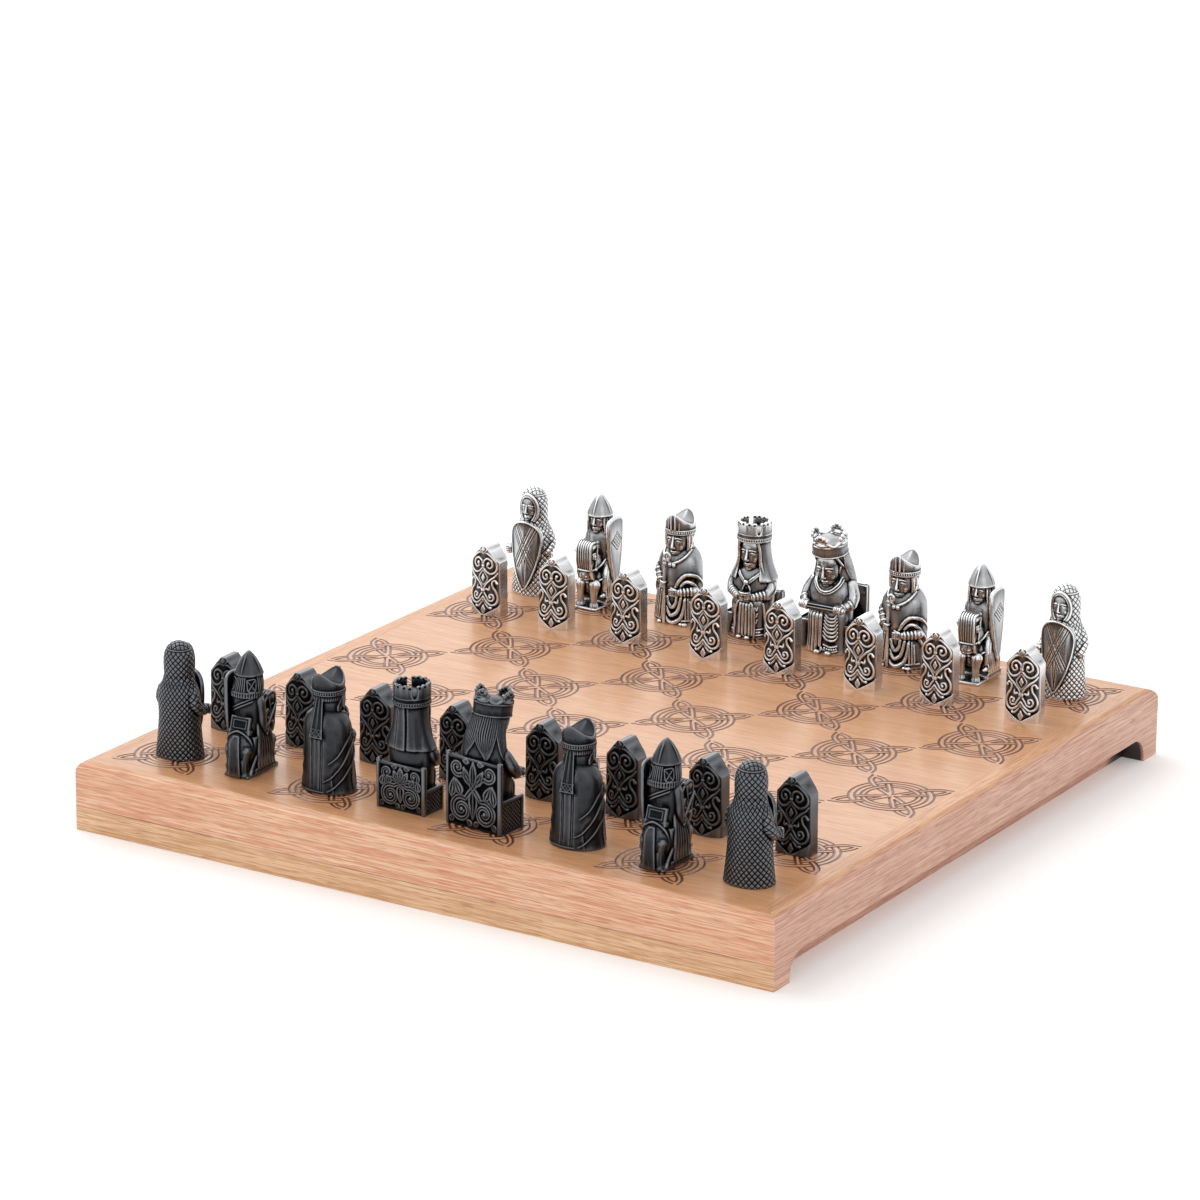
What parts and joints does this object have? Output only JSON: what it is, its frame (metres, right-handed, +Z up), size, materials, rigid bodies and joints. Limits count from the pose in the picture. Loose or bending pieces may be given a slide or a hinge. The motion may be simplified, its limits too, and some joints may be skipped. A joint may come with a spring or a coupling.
{
  "type": "chess set",
  "caption": "Square hardwood chess board with engraved dark squares and side finger grips, set out with cast medieval-style metal figures in a bright and a dark finish.",
  "frame": {"origin": "centre of the board's underside, on the surface that it stands on", "axes": "+Z up, +Y from the dark side's edge towards the bright side's edge, +X to the dark side's right"},
  "size_m": [0.41, 0.41, 0.108],
  "materials": {
    "panel_wood": "satin varnished warm honey wood with brown engraved squares",
    "red_wood": "satin varnished reddish wood with strong grain",
    "pale_wood": "satin varnished pale straw wood",
    "side_wood": "satin varnished brownish pink wood",
    "bright_metal": "polished pewter with dark antiqued recesses",
    "dark_metal": "blackened gunmetal with lighter worn edges"
  },
  "bodies": {
    "board": {"playing_panel": "panel_wood", "near_rail_upper": "red_wood", "far_rail_upper": "red_wood", "near_rail_lower": "pale_wood", "far_rail_lower": "pale_wood", "left_side_rail": "side_wood", "right_side_rail": "side_wood", "near_inner_wall": "side_wood", "far_inner_wall": "side_wood", "left_inner_wall": "side_wood", "right_inner_wall": "side_wood", "left_batten": "pale_wood", "right_batten": "pale_wood"},
    "dark_rook_left": {"dark_rook_left": "dark_metal"},
    "dark_knight_left": {"dark_knight_left": "dark_metal"},
    "dark_bishop_left": {"dark_bishop_left": "dark_metal"},
    "dark_queen": {"dark_queen": "dark_metal"},
    "dark_king": {"dark_king": "dark_metal"},
    "dark_bishop_right": {"dark_bishop_right": "dark_metal"},
    "dark_knight_right": {"dark_knight_right": "dark_metal"},
    "dark_rook_right": {"dark_rook_right": "dark_metal"},
    "dark_pawn_1": {"dark_pawn_1": "dark_metal"},
    "dark_pawn_2": {"dark_pawn_2": "dark_metal"},
    "dark_pawn_3": {"dark_pawn_3": "dark_metal"},
    "dark_pawn_4": {"dark_pawn_4": "dark_metal"},
    "dark_pawn_5": {"dark_pawn_5": "dark_metal"},
    "dark_pawn_6": {"dark_pawn_6": "dark_metal"},
    "dark_pawn_7": {"dark_pawn_7": "dark_metal"},
    "dark_pawn_8": {"dark_pawn_8": "dark_metal"},
    "bright_rook_left": {"bright_rook_left": "bright_metal"},
    "bright_knight_left": {"bright_knight_left": "bright_metal"},
    "bright_bishop_left": {"bright_bishop_left": "bright_metal"},
    "bright_queen": {"bright_queen": "bright_metal"},
    "bright_king": {"bright_king": "bright_metal"},
    "bright_bishop_right": {"bright_bishop_right": "bright_metal"},
    "bright_knight_right": {"bright_knight_right": "bright_metal"},
    "bright_rook_right": {"bright_rook_right": "bright_metal"},
    "bright_pawn_1": {"bright_pawn_1": "bright_metal"},
    "bright_pawn_2": {"bright_pawn_2": "bright_metal"},
    "bright_pawn_3": {"bright_pawn_3": "bright_metal"},
    "bright_pawn_4": {"bright_pawn_4": "bright_metal"},
    "bright_pawn_5": {"bright_pawn_5": "bright_metal"},
    "bright_pawn_6": {"bright_pawn_6": "bright_metal"},
    "bright_pawn_7": {"bright_pawn_7": "bright_metal"},
    "bright_pawn_8": {"bright_pawn_8": "bright_metal"}
  },
  "joints": [
    {"name": "dark_rook_left_lift", "type": "slide", "parent": "board", "child": "dark_rook_left", "axis": [0, 0, 1], "range_m": [0, 0.08]},
    {"name": "dark_knight_left_lift", "type": "slide", "parent": "board", "child": "dark_knight_left", "axis": [0, 0, 1], "range_m": [0, 0.08]},
    {"name": "dark_bishop_left_lift", "type": "slide", "parent": "board", "child": "dark_bishop_left", "axis": [0, 0, 1], "range_m": [0, 0.08]},
    {"name": "dark_queen_lift", "type": "slide", "parent": "board", "child": "dark_queen", "axis": [0, 0, 1], "range_m": [0, 0.08]},
    {"name": "dark_king_lift", "type": "slide", "parent": "board", "child": "dark_king", "axis": [0, 0, 1], "range_m": [0, 0.08]},
    {"name": "dark_bishop_right_lift", "type": "slide", "parent": "board", "child": "dark_bishop_right", "axis": [0, 0, 1], "range_m": [0, 0.08]},
    {"name": "dark_knight_right_lift", "type": "slide", "parent": "board", "child": "dark_knight_right", "axis": [0, 0, 1], "range_m": [0, 0.08]},
    {"name": "dark_rook_right_lift", "type": "slide", "parent": "board", "child": "dark_rook_right", "axis": [0, 0, 1], "range_m": [0, 0.08]},
    {"name": "dark_pawn_1_lift", "type": "slide", "parent": "board", "child": "dark_pawn_1", "axis": [0, 0, 1], "range_m": [0, 0.08]},
    {"name": "dark_pawn_2_lift", "type": "slide", "parent": "board", "child": "dark_pawn_2", "axis": [0, 0, 1], "range_m": [0, 0.08]},
    {"name": "dark_pawn_3_lift", "type": "slide", "parent": "board", "child": "dark_pawn_3", "axis": [0, 0, 1], "range_m": [0, 0.08]},
    {"name": "dark_pawn_4_lift", "type": "slide", "parent": "board", "child": "dark_pawn_4", "axis": [0, 0, 1], "range_m": [0, 0.08]},
    {"name": "dark_pawn_5_lift", "type": "slide", "parent": "board", "child": "dark_pawn_5", "axis": [0, 0, 1], "range_m": [0, 0.08]},
    {"name": "dark_pawn_6_lift", "type": "slide", "parent": "board", "child": "dark_pawn_6", "axis": [0, 0, 1], "range_m": [0, 0.08]},
    {"name": "dark_pawn_7_lift", "type": "slide", "parent": "board", "child": "dark_pawn_7", "axis": [0, 0, 1], "range_m": [0, 0.08]},
    {"name": "dark_pawn_8_lift", "type": "slide", "parent": "board", "child": "dark_pawn_8", "axis": [0, 0, 1], "range_m": [0, 0.08]},
    {"name": "bright_rook_left_lift", "type": "slide", "parent": "board", "child": "bright_rook_left", "axis": [0, 0, 1], "range_m": [0, 0.08]},
    {"name": "bright_knight_left_lift", "type": "slide", "parent": "board", "child": "bright_knight_left", "axis": [0, 0, 1], "range_m": [0, 0.08]},
    {"name": "bright_bishop_left_lift", "type": "slide", "parent": "board", "child": "bright_bishop_left", "axis": [0, 0, 1], "range_m": [0, 0.08]},
    {"name": "bright_queen_lift", "type": "slide", "parent": "board", "child": "bright_queen", "axis": [0, 0, 1], "range_m": [0, 0.08]},
    {"name": "bright_king_lift", "type": "slide", "parent": "board", "child": "bright_king", "axis": [0, 0, 1], "range_m": [0, 0.08]},
    {"name": "bright_bishop_right_lift", "type": "slide", "parent": "board", "child": "bright_bishop_right", "axis": [0, 0, 1], "range_m": [0, 0.08]},
    {"name": "bright_knight_right_lift", "type": "slide", "parent": "board", "child": "bright_knight_right", "axis": [0, 0, 1], "range_m": [0, 0.08]},
    {"name": "bright_rook_right_lift", "type": "slide", "parent": "board", "child": "bright_rook_right", "axis": [0, 0, 1], "range_m": [0, 0.08]},
    {"name": "bright_pawn_1_lift", "type": "slide", "parent": "board", "child": "bright_pawn_1", "axis": [0, 0, 1], "range_m": [0, 0.08]},
    {"name": "bright_pawn_2_lift", "type": "slide", "parent": "board", "child": "bright_pawn_2", "axis": [0, 0, 1], "range_m": [0, 0.08]},
    {"name": "bright_pawn_3_lift", "type": "slide", "parent": "board", "child": "bright_pawn_3", "axis": [0, 0, 1], "range_m": [0, 0.08]},
    {"name": "bright_pawn_4_lift", "type": "slide", "parent": "board", "child": "bright_pawn_4", "axis": [0, 0, 1], "range_m": [0, 0.08]},
    {"name": "bright_pawn_5_lift", "type": "slide", "parent": "board", "child": "bright_pawn_5", "axis": [0, 0, 1], "range_m": [0, 0.08]},
    {"name": "bright_pawn_6_lift", "type": "slide", "parent": "board", "child": "bright_pawn_6", "axis": [0, 0, 1], "range_m": [0, 0.08]},
    {"name": "bright_pawn_7_lift", "type": "slide", "parent": "board", "child": "bright_pawn_7", "axis": [0, 0, 1], "range_m": [0, 0.08]},
    {"name": "bright_pawn_8_lift", "type": "slide", "parent": "board", "child": "bright_pawn_8", "axis": [0, 0, 1], "range_m": [0, 0.08]}
  ]
}
